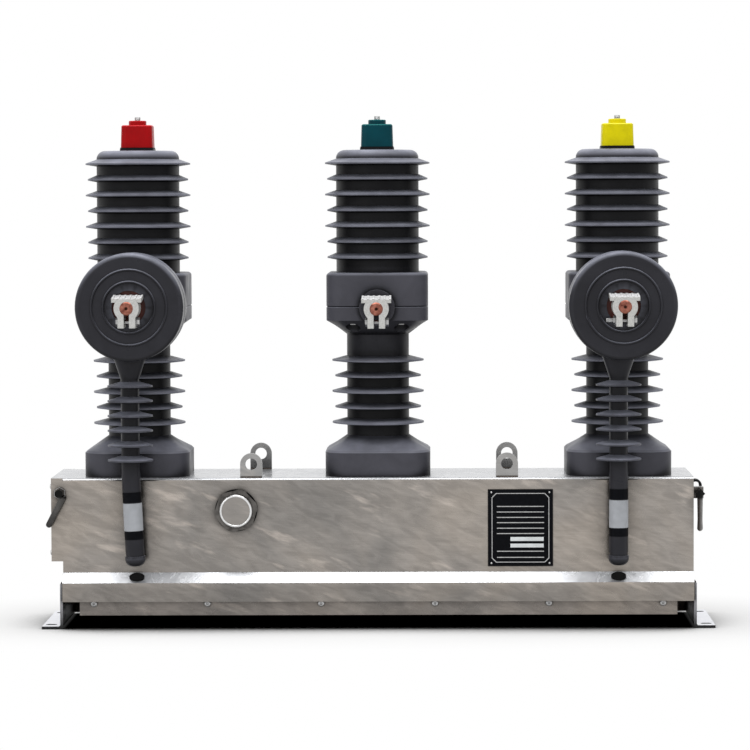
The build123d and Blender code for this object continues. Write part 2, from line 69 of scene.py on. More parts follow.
# Light and floor. A lamp is its name, place, target, width and height, and watts
WORLD_FILL = 0.55
LAMPS = (
    ("overhead", (0.0, -0.45, 3.2), (0, -0.449, 0), (4.0, 1.3), 62),
    ("front_left", (-2.4, -3.2, 2.0), (0, 0, 0.4), (1.3, 1.3), 16),
)
FLOOR_COLOR = (0.97, 0.97, 0.97, 1)
FLOOR_HALF = 8.0
SHADOW_HALF = (0.44, 0.10)
SHADOW_FADE = 0.22
# Reach of the painted shadow on the floor near the breaker
PAINTED_SHADOW_REACH = 0.14

# Terminal clamps, studs and caps, millimetres
PAD_SLOPE = 7.0
PAD_TOP = 13.0
PAD_WIDTH = 41.0
PAD_RIBS = 6
RIB_SIZE = (3.0, 34.0, 1.0)
RIB_MIDDLE = (17.8, 0.35)
FLANGE_BOLT_PLACE = (34.0, 54.0)
FLANGE_WASHER_R = (9.9, 7.6)
FLANGE_WASHER_THICK = 1.3
CLAMP_HALF = 12.0
CLAMP_WASHER_R = (7.4, 6.1)
CLAMP_WASHER_THICK = 0.9
STUD_THREAD = ((3.9, -0.4), (4.25, 0), (3.9, 0.4))
STUD_THREAD_PITCH = 1.0
STUD_THREAD_INSET = 0.7
SCREW_THREAD = ((2.9, -0.35), (3.3, 0), (2.9, 0.35))
SCREW_THREAD_PITCH = 0.9
SCREW_THREAD_INSET = 0.6
SCREW_TAIL_START = 15.9
CAP_SEAL_OUTER = (47.2, 8.6)
CAP_SEAL_INNER = (45.4, 8.0)
CAP_SEAL_HEIGHT = 1.3

# Ring transformers, boots and lead entries, millimetres. The lip's radii are times GROMMET_HALF
RIM_LINE_Y = -129.0
RIM_LINE = ((74.8, -0.7), (75.35, -0.3), (75.35, 0.3), (74.8, 0.7))
LEG_PLACE = (-4.0, -110.0, -227.0)
BOOT_R = 12.8
BOOT_LEAN = {"left": 2.6, "right": 0.0}
BOOT_LINE_SIZE = (0.8, 0.9, 112.0)
BOOT_LINE_MIDDLE = -62.0
LABEL_TOP = {"left": 32.0, "right": 29.0}
LABEL_BANDS = ((0.0, 14.0, "plate_black"), (15.4, 38.6, "clamp_aluminium"), (55.0, 11.0, "plate_black"))
LABEL_PROUD = 0.55
LABEL_SUNK = 0.2
LEDGE_SLOPE = 46.1
GROMMET_HALF = (10.5, 6.5)
GROMMET_LIP = ((0.80, 1.2), (0.86, 2.3), (0.95, 2.3), (1.02, 1.5), (1.02, 0.6), (0.90, 0.4))

# Housing, pan and feet, millimetres
HOUSING_HALF_DEPTH = 82.5
PAN_SCREW_X = (-400.0, -240.0, -80.0, 80.0, 240.0, 400.0)
PAN_SCREW_Z = 34.6
PAN_HALF_DEPTH = 78.0
PAN_SCREW = {"radius": 4.6, "height": 2.6}
COVER_SCREW = {"radius": 3.8, "height": 2.0}
COVER_SCREW_INSET = 12
END_SCREW_Y = (-42.0, 0.0, 42.0)
END_SCREW_Z = (88.0, 199.0)
LEVER_AXIS = (-446.2, -82.5, 191.4)
LEVER_NUT_FLATS = (15.0, 14.02)
LEVER_NUT_HEIGHT = 4.1
PORT_GASKET_R = (29.6, 27.5)
PORT_GASKET_THICK = 0.9
PORT_RIM = (
    (19.6, -0.3), (20.0, 0.5), (21.2, 0.7), (22.4, -0.2), (23.3, -1.6), (23.2, -2.4), (21.0, -0.9),
)
LUG_WELD_R = 1.7
LUG_WELD_INSET = 0.5
FOOT_WELD_R = 2.0
FOOT_WELD_INSET = 4
FOOT_WELD_X = 443.6
PAN_END = 420.0
# Web plates that stand for the shade under the housing
WEB_Y = 66.0
WEB_BOTTOM = 5.0
WEB_TOP = 40.5
WEB_THICK = 2.0

# Nameplate, millimetres. A border is how much smaller it is than the plate, and its corner cut
BORDER_OUTER = (10.4, 6.0)
BORDER_INNER = (12.4, 5.6)
RULE_ROWS = (84.0, 76.2, 68.6, 61.2, 53.4, 45.9, 21.0, 12.4)
RULE_SIZE = (66.0, 1.2, 0.3)
BLANK_FIELDS = ((35.4, 5.6), (26.3, 5.4))
FIELD_WIDTH = 46.6
FIELD_X = 9.2
RIVET_INSET = (4.9, 4.2)
RIVET = ((0, 1.1), (0.9, 0.9), (1.5, 0.3), (1.6, 0), (0, -0.1))

# Where the materials change, metres and radians. In a list of pairs, each is a place and its value
SMEAR_TURN = 0.35
SKIRT_HEIGHTS = (0.058, 0.0655)
PHASE_PITCH = 0.34
LOWER_SHEDS_BELOW = (0.424, 0.426)
LOWER_SHEDS_NARROWER = 0.010
# Rims of the sheds, made paler by dusting and a painted highlight
RIM_REACH = ((0.064, 0.0), (0.0715, 1.0))
SHED_ZONES = ((0.272, 0.0), (0.276, 1.0), (0.392, 1.0), (0.396, 0.0), (0.504, 0.0), (0.508, 1.0))
# Columns between the sheds, and how dark their painted shade is
COLUMN_REACH = ((0.0605, 1.0), (0.0640, 0.0))
COLUMN_ZONES = (
    (0.246, 0.0), (0.262, 1.0), (0.418, 1.0), (0.424, 0.0),
    (0.504, 0.0), (0.508, 1.0), (0.656, 1.0), (0.660, 0.0),
)
COLUMN_SHADE = 0.42
# Heights where dusting and a painted sheen reach full strength, on the domes
DUST_AND_SHEEN_HEIGHTS = ((0.655, 0.48), (0.660, 1.0))

UP = Matrix.Identity(4)
FRONT = Matrix.Rotation(math.pi / 2, 4, "X")
BACK = Matrix.Rotation(-math.pi / 2, 4, "X")
LEFT = Matrix.Rotation(-math.pi / 2, 4, "Y")
RIGHT = Matrix.Rotation(math.pi / 2, 4, "Y")


def srgb(r, g, b):
    """Linear colour from the 0-255 values that a screen shows."""
    linear = []
    for v in (r, g, b):
        c = v / 255
        linear.append(c / 12.92 if c <= 0.04045 else ((c + 0.055) / 1.055) ** 2.4)
    return (*linear, 1.0)


# Colour of the dusting, and of the painted sheen and highlights, on the insulators
DUST_AND_SHEEN = srgb(168, 171, 186)
PALE_STREAK = srgb(214, 203, 193)
# Pale colour of the painted highlight on the sheet's upward faces
TOP_HIGHLIGHT_STEEL = srgb(206, 208, 212)


def shade(color, *factors):
    """A colour times one factor, or times one factor for each channel."""
    if len(factors) == 1:
        factors = factors * 3
    return (*(min(1.0, c * f) for c, f in zip(color, factors)), 1.0)


class Shader:
    """A material being built: its nodes, its links and its Principled shader."""

    def __init__(self, name, color, rough=0.5, metal=0.0, **sockets):
        self.mat = bpy.data.materials.new(name)
        self.mat.use_nodes = True
        self.tree = self.mat.node_tree
        self.main = self.tree.nodes["Principled BSDF"]
        self.main.inputs["Base Color"].default_value = color
        self.main.inputs["Roughness"].default_value = rough
        self.main.inputs["Metallic"].default_value = metal
        for key, value in sockets.items():
            self.main.inputs[key.replace("_", " ")].default_value = value
        self.mat.diffuse_color = color
        self.bumps = None

    def feed(self, value, socket):
        """Links an output to a socket, or sets a plain value on it."""
        if hasattr(value, "links"):
            self.tree.links.new(value, socket)
        else:
            socket.default_value = value

    def node(self, kind, **values):
        made = self.tree.nodes.new("ShaderNode" + kind)
        for key, value in values.items():
            if key in made.inputs:
                self.feed(value, made.inputs[key])
            else:
                setattr(made, key, value)
        return made

    def place(self, long=(1, 1, 1), turn=0.0):
        """Object coordinates in metres, for marks so many times longer along axes turned about Y."""
        coords = self.node("TexCoord").outputs["Object"]
        turned = (0, turn, 0)
        mapping = self.node("Mapping", vector_type="TEXTURE", Scale=long, Rotation=turned, Vector=coords)
        return mapping.outputs["Vector"]

    def axis(self, vector, letter):
        return self.node("SeparateXYZ", Vector=vector).outputs[letter]

    def number(self, operation, *values):
        made = self.node("Math", operation=operation)
        for value, socket in zip(values, made.inputs):
            self.feed(value, socket)
        return made.outputs[0]

    def times(self, a, b):
        return self.number("MULTIPLY", a, b)

    def length(self, a, b):
        """Length of a line that runs a one way and b at right angles to it."""
        squares = [self.number("POWER", part, 2.0) for part in (a, b)]
        return self.number("SQRT", self.number("ADD", *squares))

    def from_pole(self, place):
        """X measured from the axis of the nearest pole."""
        return self.number("WRAP", self.axis(place, "X"), PHASE_PITCH / 2, -PHASE_PITCH / 2)

    def noise(self, scale, detail=4, long=(1, 1, 1), turn=0.0, distortion=0.0):
        made = self.node(
            "TexNoise", Scale=scale, Detail=detail, Distortion=distortion, Vector=self.place(long, turn)
        )
        return made.outputs["Fac"]

    def ramp(self, value, *stops):
        made = self.node("ValToRGB", Fac=value)
        ramp = made.color_ramp
        while len(ramp.elements) < len(stops):
            ramp.elements.new(1.0)
        for element, (at, color) in zip(ramp.elements, stops):
            element.position = at
            element.color = color if isinstance(color, tuple) else (color, color, color, 1)
        return made.outputs["Color"]

    def mix(self, a, b, factor, blend="MIX"):
        made = self.node("MixRGB", blend_type=blend, Fac=factor, Color1=a, Color2=b)
        return made.outputs["Color"]

    def darken(self, tone, mask, factor=1.0):
        """A tone times a mask, where white leaves it as it is."""
        return self.mix(tone, mask, factor, "MULTIPLY")

    def lean(self):
        """1 on level tops, 0 on walls and -1 on level undersides."""
        return self.axis(self.node("NewGeometry").outputs["Normal"], "Z")

    def facing_up(self, low, high):
        """0 on walls and undersides, 1 on faces that look up."""
        return self.ramp(self.lean(), (low, 0.0), (high, 1.0))

    def painted_crevice_shade(self, distance):
        """Near 0 deep between surfaces that face each other, 1 in the open: ambient occlusion, used to paint
        shade into a colour.
        """
        return self.node("AmbientOcclusion", samples=8, Distance=distance).outputs["AO"]

    def color(self, output):
        self.feed(output, self.main.inputs["Base Color"])

    def rough(self, output):
        self.feed(output, self.main.inputs["Roughness"])

    def metal(self, output):
        self.feed(output, self.main.inputs["Metallic"])

    def bump(self, height, strength, distance):
        made = self.node("Bump", Strength=strength, Distance=distance, Height=height)
        if self.bumps:
            self.feed(self.bumps, made.inputs["Normal"])
        self.bumps = made.outputs["Normal"]
        self.feed(self.bumps, self.main.inputs["Normal"])


def stainless(name, color, rough=0.22, clouds=1.0, smears=1.0, low_tint=1.0, painted_top_light=0.0):
    """Brushed stainless sheet: fine grain, warm and cool clouds, slanting smears, a skirt that is darker
    towards the bottom, painted shade in its corners and, when asked, a painted highlight on faces that look
    up.
    """
    s = Shader(name, color, rough=rough, metal=1.0)
    cloud = s.noise(5, detail=5, distortion=1.0)
    cool = shade(color, 0.76, 0.78, 0.80)
    warm = shade(color, 1.14, 1.11, 1.07)
    tone = s.mix(color, s.ramp(cloud, (0.34, cool), (0.50, color), (0.66, warm)), clouds)
    smear = s.noise(105, detail=5, long=(3.4, 1, 1), turn=SMEAR_TURN, distortion=0.7)
    tone = s.darken(tone, s.ramp(smear, (0.36, 0.78), (0.52, 0.90), (0.66, 1.0)), smears)
    streak = s.ramp(s.noise(55, detail=6, long=(4, 1, 1), turn=SMEAR_TURN), (0.60, 0.0), (0.72, 0.55))
    tone = s.mix(tone, PALE_STREAK, s.times(streak, smears))
    grain = s.noise(900, detail=3, long=(30, 1, 1))
    tone = s.darken(tone, s.ramp(grain, (0.30, 0.86), (0.70, 1.0)), 0.7)
    # Darker towards the bottom, below the skirt's heights
    skirt, above = SKIRT_HEIGHTS
    tone = s.darken(tone, s.ramp(s.axis(s.place(), "Z"), (skirt, low_tint), (above, 1.0)))
    # Painted shade: darker in corners and between parts
    tone = s.darken(tone, s.ramp(s.painted_crevice_shade(0.045), (0.40, 0.16), (0.90, 1.0)))
    # Painted highlight: faces that look up turn pale and less metallic, standing for the overhead light they
    # reflect
    if painted_top_light:
        top = s.times(s.facing_up(0.42, 0.66), painted_top_light)
        tone = s.mix(tone, TOP_HIGHLIGHT_STEEL, top)
        s.metal(s.number("SUBTRACT", 1.0, s.times(top, 0.42)))
    s.color(tone)
    swirl = s.noise(22, detail=6, distortion=3.0)
    s.rough(s.ramp(swirl, (0.30, rough * 0.8), (0.72, rough * 1.4)))
    s.bump(grain, 0.04, 0.0002)
    s.bump(s.noise(4, detail=2), 0.15, 0.002)
    return s.mat


def shed_masks(s):
    """Two numbers by distance from a pole's axis: 1 at its sheds' rims, which turn paler with dusting and a
    painted highlight, and 1 on its columns, which take painted shade.
    """
    place = s.place()
    reach = s.length(s.from_pole(place), s.axis(place, "Y"))
    height = s.axis(place, "Z")
    below, above = LOWER_SHEDS_BELOW
    reach = s.number("ADD", reach, s.ramp(height, (below, LOWER_SHEDS_NARROWER), (above, 0.0)))
    rim = s.times(s.ramp(reach, *RIM_REACH), s.ramp(height, *SHED_ZONES))
    column = s.times(s.ramp(reach, *COLUMN_REACH), s.ramp(height, *COLUMN_ZONES))
    return rim, column


def silicone(name, color, rough=0.38, gloss=0.12, dust_and_sheen_amount=0.85, edge=0.4, recess_shade=0.14, sheds=True):
    """Moulded silicone rubber: painted shade in recesses, on the columns between sheds and on undersides,
    dusting and a painted sheen on tops, and edges made paler by dusting and a painted highlight.
    """
    s = Shader(name, color, rough=rough, Specular_IOR_Level=gloss)
    mottle = s.noise(16, detail=6, distortion=0.8)
    tone = s.ramp(mottle, (0.32, shade(color, 0.82)), (0.70, shade(color, 1.18)))
    # Painted shade in recesses
    tone = s.darken(tone, s.ramp(s.painted_crevice_shade(0.035), (0.64, recess_shade), (0.90, 1.0)))
    patchy = s.ramp(s.noise(34, detail=5), (0.3, 0.5), (0.7, 1.0))
    # Dusting and a painted sheen on faces that look up; with sheds, at about half strength below the domes
    dust_and_sheen_mask = s.times(s.facing_up(0.15, 0.85), patchy)
    if sheds:
        dust_and_sheen_mask = s.times(dust_and_sheen_mask, s.ramp(s.axis(s.place(), "Z"), *DUST_AND_SHEEN_HEIGHTS))
    tone = s.mix(tone, DUST_AND_SHEEN, s.times(dust_and_sheen_mask, dust_and_sheen_amount))
    if sheds:
        # Rim and column masks; the columns between sheds take painted shade
        rim, column = shed_masks(s)
        tone = s.darken(tone, s.ramp(column, (0.0, 1.0), (1.0, COLUMN_SHADE)))
    else:
        rim = s.ramp(s.node("NewGeometry").outputs["Pointiness"], (0.505, 0.0), (0.60, 1.0))
    # Edges made paler by dusting and a painted highlight
    tone = s.mix(tone, DUST_AND_SHEEN, s.times(s.times(rim, patchy), edge))
    # Painted shade on undersides
    tone = s.darken(tone, s.ramp(s.times(s.lean(), -1.0), (0.10, 1.0), (0.60, 0.35)))
    s.color(tone)
    s.rough(s.ramp(s.noise(40, detail=5), (0.3, rough * 0.85), (0.7, rough * 1.25)))
    s.bump(s.noise(650, detail=3), 0.07, 0.0004)
    s.bump(s.noise(60, detail=3), 0.08, 0.001)
    return s.mat


def moulded(name, color, edge):
    """Coloured plastic cap: even colour with a faint grain and wear, and a painted highlight that makes it
    paler where it looks up.
    """
    s = Shader(name, color, rough=0.36, Specular_IOR_Level=0.10)
    worn = s.ramp(s.noise(70, detail=5), (0.25, shade(color, 0.82)), (0.62, color))
    # Painted highlight: the second colour on faces that look up
    s.color(s.mix(worn, edge, s.facing_up(0.1, 0.8)))
    s.bump(s.noise(900, detail=2), 0.05, 0.0003)
    return s.mat


def bare_metal(
    name, color, rough=0.3, metal=1.0, scratch=0.35, scale=500, reach=0.008, deep=0.3, clear=0.75, top=None
):
    """Bright hardware: grained metal, with painted shade in its corners and, when a top colour is given, a
    painted highlight where it looks up.
    """
    s = Shader(name, color, rough=rough, metal=metal)
    grain = s.noise(scale, detail=4, long=(1, 16, 1))
    tone = s.ramp(grain, (0.25, shade(color, 1 - scratch)), (0.65, color))
    # Painted shade in corners
    tone = s.darken(tone, s.ramp(s.painted_crevice_shade(reach), (clear - 0.42, deep), (clear, 1.0)))
    # Painted highlight: the top colour on faces that look up
    if top:
        tone = s.mix(tone, top, s.facing_up(0.5, 0.9))
    s.color(tone)
    s.rough(s.ramp(s.noise(120, detail=4), (0.3, rough * 0.8), (0.7, rough * 1.4)))
    s.bump(grain, 0.05, 0.0002)
    return s.mat


def copper(name, outlet_z):
    """Tarnished conductor with turning marks, and a dark dot of painted shade for the hole in the middle of
    its end.
    """
    s = Shader(name, srgb(170, 104, 88), rough=0.36, metal=1.0)
    tarnish = s.noise(160, detail=5, distortion=0.6)
    tone = s.ramp(tarnish, (0.28, srgb(96, 50, 42)), (0.7, srgb(186, 122, 104)))
    place = s.place()
    reach = s.length(s.from_pole(place), s.number("SUBTRACT", s.axis(place, "Z"), outlet_z))
    rings = s.ramp(s.number("SINE", s.times(reach, 7000)), (0.2, 0.82), (0.8, 1.0))
    # Painted shade: a dark dot in the middle of the stud's end stands for its drilled hole
    painted_hole_shade = s.ramp(s.times(reach, 100), (0.18, 0.10), (0.26, 1.0))
    s.color(s.darken(s.darken(tone, rings), painted_hole_shade))
    s.bump(s.noise(400, detail=3, long=(1, 10, 1)), 0.06, 0.0002)
    return s.mat


def lever_finish(name, hub_z, *stops):
    """Worn dark steel under a black hub: an arm with painted light and shade that change from one side to the
    other.
    """
    s = Shader(name, srgb(60, 58, 57), rough=0.36, Specular_IOR_Level=0.12)
    place = s.place()
    # Painted light and shade: the arm's tone ramps from its lit side to its shaded side
    side_shading = s.ramp(s.number("ABSOLUTE", s.axis(place, "X")), *stops)
    wear = s.ramp(s.noise(160, detail=6), (0.35, 0.70), (0.70, 1.0))
    hub = s.ramp(s.axis(place, "Z"), (hub_z - 0.003, 1.0), (hub_z, 0.04))
    s.color(s.darken(s.darken(side_shading, wear), hub))
    s.bump(s.noise(600, detail=3), 0.08, 0.0003)
    return s.mat


def resin(name):
    """Cast epoxy resin, dark red-brown, with a painted highlight that makes it paler where it looks up."""
    s = Shader(name, srgb(70, 30, 24), rough=0.5, Specular_IOR_Level=0.3)
    tone = s.ramp(s.noise(120, detail=5), (0.3, srgb(54, 24, 20)), (0.7, srgb(92, 40, 30)))
    # Painted highlight on faces that look up
    s.color(s.mix(tone, srgb(190, 96, 60), s.facing_up(0.2, 0.9)))
    s.bump(s.noise(300, detail=3), 0.15, 0.0004)
    return s.mat


def dark_paint(name, color, rough=0.45, gloss=0.12, streak=1.7):
    """Dark coating with pale wear where it has rubbed thin."""
    s = Shader(name, color, rough=rough, Specular_IOR_Level=gloss)
    worn = s.noise(180, detail=6)
    s.color(s.ramp(worn, (0.45, color), (0.78, shade(color, streak))))
    s.bump(s.noise(700, detail=3), 0.08, 0.0003)
    return s.mat


def printed(name, color):
    """Blank printed foil: matt and a little soiled."""
    s = Shader(name, color, rough=0.55, Specular_IOR_Level=0.15)
    s.color(s.ramp(s.noise(90, detail=5), (0.3, shade(color, 0.86)), (0.65, color)))
    s.bump(s.noise(500, detail=2), 0.04, 0.0002)
    return s.mat


MATERIALS = {
    # Sheet steel, with a painted highlight on its upward faces
    "stainless_sheet": stainless("stainless_sheet", srgb(163, 157, 151), low_tint=0.80, painted_top_light=0.9),
    "stainless_bracket": stainless("stainless_bracket", srgb(166, 165, 164), clouds=0.4, smears=0.6),
    "stainless_bright": stainless("stainless_bright", srgb(158, 153, 148), rough=0.2, clouds=0.4, smears=0.5),
    "bright_steel": bare_metal("bright_steel", srgb(196, 196, 196)),
    "plate_black": dark_paint("plate_black", srgb(10, 11, 15), rough=0.4, gloss=0.05),
    "insulator": silicone("insulator", srgb(76, 76, 83)),
    # Each cap's second colour is its painted highlight on faces that look up
    "cap_left": moulded("cap_left", srgb(172, 10, 16), srgb(216, 40, 48)),
    "cap_middle": moulded("cap_middle", srgb(0, 66, 76), srgb(16, 112, 112)),
    "cap_right": moulded("cap_right", srgb(236, 222, 10), srgb(250, 240, 70)),
    "copper": copper("copper", 0.454),
    # Clamp aluminium: its near-white top colour is a painted highlight on the pads' upward faces
    "clamp_aluminium": bare_metal(
        "clamp_aluminium", srgb(206, 206, 203), rough=0.42, metal=0.35, scratch=0.25, top=srgb(252, 252, 253)
    ),
    "cast_resin": resin("cast_resin"),
    "rubber": dark_paint("rubber", srgb(14, 14, 15), rough=0.6, gloss=0.08),
    "lever_steel": dark_paint("lever_steel", srgb(62, 61, 61), rough=0.36, gloss=0.4, streak=2.2),
    "black_bracket": dark_paint("black_bracket", srgb(14, 14, 15)),
}
# Darker rubber of the ring transformers, with painted shade in recesses and undersides, and edges made paler
# by dusting and a painted highlight
TRANSFORMER_RUBBER = silicone(
    "transformer_rubber", srgb(46, 46, 51), rough=0.32, gloss=0.14, dust_and_sheen_amount=0.8, edge=0.22, recess_shade=0.5,
    sheds=False
)
# Feet: deep painted shade on the legs under the housing, and a painted highlight on the flanges' tops
FOOT_STEEL = bare_metal(
    "foot_steel", srgb(204, 204, 208), rough=0.36, scratch=0.2, reach=0.07, deep=0.02, clear=0.96,
    top=srgb(236, 237, 242)
)
# Tones of the painted light and shade on the two lever arms, from side to side
LEFT_LEVER_SHADED_TONES = ((0.4480, srgb(96, 94, 92)), (0.4640, srgb(52, 51, 51)))
RIGHT_LEVER_SHADED_TONES = ((0.4488, srgb(48, 39, 33)), (0.4526, srgb(150, 148, 146)))
SPECIAL = {
    "current_transformer_left": TRANSFORMER_RUBBER,
    "current_transformer_right": TRANSFORMER_RUBBER,
    "outlet_stud_middle": copper("copper_middle", 0.450),
    # Lighter copy of the sheet steel for the pan: painted light that offsets the shade under the skirt
    "bottom_pan": stainless("stainless_pan_lightened", srgb(178, 170, 163)),
    "left_foot": FOOT_STEEL,
    "right_foot": FOOT_STEEL,
    "left_lever": lever_finish("left_lever_steel", 0.1865, *LEFT_LEVER_SHADED_TONES),
    "charging_lever": lever_finish("charging_lever_steel", 0.1835, *RIGHT_LEVER_SHADED_TONES),
    # Darker copy of the bright steel for the cable port's nut: painted dark reflection, with high-contrast
    # grain for glints
    "cable_port_nut": bare_metal("port_nut_darkened", srgb(104, 101, 98), rough=0.16, scratch=0.7, scale=120),
}
PALE_FOIL = printed("pale_foil", srgb(176, 179, 184))
WHITE_FIELD = printed("white_field", srgb(236, 240, 242))
WELD_STEEL = bare_metal("weld_steel", srgb(96, 88, 82), rough=0.45, scratch=0.5)
RIM_STEEL = bare_metal("rim_steel", srgb(228, 228, 228), rough=0.2, scratch=0.1)

SLOTS = {entry["node"]: entry["material_slot"] for entry in frame["record"]["subparts"]}
for node, obj in NODES.items():
    finish = SPECIAL.get(node, MATERIALS[SLOTS[node]])
    if not obj.material_slots:
        obj.data.materials.append(finish)
    for material_slot in obj.material_slots:
        material_slot.material = finish


def at(x, y, z, turn=UP):
    """Place in millimetres, turned so that local +Z points the way that turn says."""
    return Matrix.Translation(Vector((x, y, z)) * MM) @ turn


def centre_of(node):
    """Middle of a node's box, and its two corners, in millimetres."""
    low, high = (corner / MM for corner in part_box(node))
    return (low + high) / 2, low, high


def outlet(name):
    """Phase's X and the height of its outlet, in millimetres."""
    middle = centre_of("outlet_stud_" + name)[0]
    return middle.x, middle.z


def make_piece(name, bm, slot, finish=None, crease=35):
    """Turns a bmesh into a piece that rides on the breaker and takes its finish from a slot."""
    bmesh.ops.recalc_face_normals(bm, faces=bm.faces)
    mesh = bpy.data.meshes.new(name)
    bm.to_mesh(mesh)
    bm.free()
    mesh.polygons.foreach_set("use_smooth", [True] * len(mesh.polygons))
    mesh.set_sharp_from_angle(angle=math.radians(crease))
    mesh.materials.append(finish or MATERIALS[slot])
    obj = bpy.data.objects.new(name, mesh)
    bpy.context.collection.objects.link(obj)
    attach(obj, "breaker")
    return obj


def oval(half_x, half_y, count, start=0.0):
    turns = [start + 2 * math.pi * i / count for i in range(count)]
    return [(half_x * math.cos(t), half_y * math.sin(t)) for t in turns]


def hexagon(across_flats, start=0.0):
    corner = across_flats / 2 / math.cos(math.pi / 6)
    return oval(corner, corner, 6, start)


def cut_corner_rectangle(width, height, cut):
    w, h = width / 2, height / 2
    return [
        (w, h - cut), (w - cut, h), (cut - w, h), (-w, h - cut),
        (-w, cut - h), (cut - w, -h), (w - cut, -h), (w, cut - h),
    ]


def rounded_square(width, corner_r, steps=5):
    inner = width / 2 - corner_r
    points = []
    for quarter, (sx, sy) in enumerate(((1, 1), (-1, 1), (-1, -1), (1, -1))):
        for i in range(steps + 1):
            t = (quarter + i / steps) * math.pi / 2
            points.append((sx * inner + corner_r * math.cos(t), sy * inner + corner_r * math.sin(t)))
    return points


def band(bm, outer, inner, low, high, place):
    """Closed ring between two outlines with as many points, from one height to another."""
    loops = [
        [bm.verts.new(place @ (Vector((x, y, z)) * MM)) for x, y in outline]
        for outline, z in ((outer, low), (outer, high), (inner, high), (inner, low))
    ]
    for a, b in zip(loops, loops[1:] + loops[:1]):
        for i in range(len(a)):
            j = (i + 1) % len(a)
            bm.faces.new((a[i], a[j], b[j], b[i]))


def ring(bm, radii, low, high, place, count=32):
    """Flat ring between an outer and an inner radius."""
    outer, inner = (oval(radius, radius, count) for radius in radii)
    band(bm, outer, inner, low, high, place)


def lathe(bm, profile, place, steps=32, stretch=(1.0, 1.0), closed=False):
    """(radius, height) points turned about the local Z axis. A radius of 0 is a pole."""
    rings = []
    for radius, height in profile:
        points = oval(radius * stretch[0], radius * stretch[1], steps if radius else 1)
        rings.append([bm.verts.new(place @ (Vector((x, y, height)) * MM)) for x, y in points])
    for a, b in zip(rings, rings[1:] + (rings[:1] if closed else [])):
        for i in range(steps):
            j = (i + 1) % steps
            corners = (a[i % len(a)], a[j % len(a)], b[j % len(b)], b[i % len(b)])
            bm.faces.new(tuple(dict.fromkeys(corners)))


def slab(bm, size, place, bevel=0.3):
    """Small block with rounded edges, centred on its place."""
    block = place @ Matrix.Diagonal((*(v * MM for v in size), 1))
    made = bmesh.ops.create_cube(bm, size=1.0, matrix=block)
    edges = dict.fromkeys(edge for vert in made["verts"] for edge in vert.link_edges)
    bmesh.ops.bevel(bm, geom=list(edges), offset=bevel * MM, segments=2, profile=0.5, affect="EDGES")


def screw_head(bm, place, radius, height):
    """Low round head with a socket in its middle."""
    socket, floor = 0.42 * radius, 0.35 * height
    profile = [
        (0, floor), (socket, floor), (socket, height), (0.72 * radius, height),
        (0.93 * radius, 0.75 * height), (radius, 0.4 * height), (radius, 0), (0, 0),
    ]
    lathe(bm, profile, place, steps=24)


def weld(bm, start, end, radius, ripple=2.4):
    """Weld bead between two places: a rod whose radius ripples as its runs overlap."""
    start, run = Vector(start), Vector(end) - Vector(start)
    turn = run.to_track_quat("Z", "Y").to_matrix().to_4x4()
    count = int(run.length / ripple * 4)
    profile = [(0, 0)]
    for i in range(1, count):
        height = run.length * i / count
        profile.append((radius * (1 + 0.18 * math.sin(2 * math.pi * height / ripple)), height))
    profile.append((0, run.length))
    lathe(bm, profile, at(*start, turn), steps=10)


def make_pad_ribs(name):
    """Ribs of the extrusion on the clamp's sloping pad."""
    x, z = outlet(name)
    _, low, _ = centre_of("outlet_clamp_" + name)
    edge = at(x, low.y, z + PAD_TOP, Matrix.Rotation(math.radians(PAD_SLOPE), 4, "X"))
    pitch = (PAD_WIDTH - RIB_SIZE[0]) / (PAD_RIBS - 1)
    bm = bmesh.new()
    for i in range(PAD_RIBS):
        rib_x = (i - (PAD_RIBS - 1) / 2) * pitch
        slab(bm, RIB_SIZE, edge @ at(rib_x, *RIB_MIDDLE))
    make_piece("pad_ribs_" + name, bm, "clamp_aluminium")


def make_washers(name):
    """Flat washers at the flange bolts and on both sides of the clamp."""
    bm = bmesh.new()
    x, _ = outlet(name)
    _, _, high = centre_of("flange_bolts_" + name)
    bolt_x, bolt_y = FLANGE_BOLT_PLACE
    for sx in (-1, 1):
        for sy in (-1, 1):
            place = at(x + sx * bolt_x, sy * bolt_y, high.z)
            ring(bm, FLANGE_WASHER_R, -FLANGE_WASHER_THICK, 0, place)
    middle, _, _ = centre_of("clamp_bolt_" + name)
    place = at(x, middle.y, middle.z, RIGHT)
    for side in (1, -1):
        ring(bm, CLAMP_WASHER_R, side * CLAMP_HALF, side * (CLAMP_HALF + CLAMP_WASHER_THICK), place)
    make_piece("washers_" + name, bm, "bright_steel")


def make_threads(name):
    """Thread crests on the top stud, and on the clamp screw's tail where it is long."""
    bm = bmesh.new()
    middle, low, high = centre_of("top_stud_" + name)
    height = low.z + STUD_THREAD_INSET
    while height < high.z - STUD_THREAD_INSET:
        lathe(bm, STUD_THREAD, at(middle.x, middle.y, height), steps=24)
        height += STUD_THREAD_PITCH
    x, _ = outlet(name)
    middle, low, _ = centre_of("clamp_bolt_" + name)
    along = low.x + SCREW_THREAD_INSET
    while along < x - SCREW_TAIL_START:
        lathe(bm, SCREW_THREAD, at(along, middle.y, middle.z, RIGHT), steps=20)
        along += SCREW_THREAD_PITCH
    make_piece("threads_" + name, bm, "bright_steel", crease=80)


def make_cap_seal(name):
    """Thin black seal between the insulator's plinth and the coloured cap."""
    middle, low, _ = centre_of("top_cap_" + name)
    outer, inner = rounded_square(*CAP_SEAL_OUTER), rounded_square(*CAP_SEAL_INNER)
    bm = bmesh.new()
    band(bm, outer, inner, 0, CAP_SEAL_HEIGHT, at(middle.x, middle.y, low.z))
    make_piece("cap_seal_" + name, bm, "rubber")


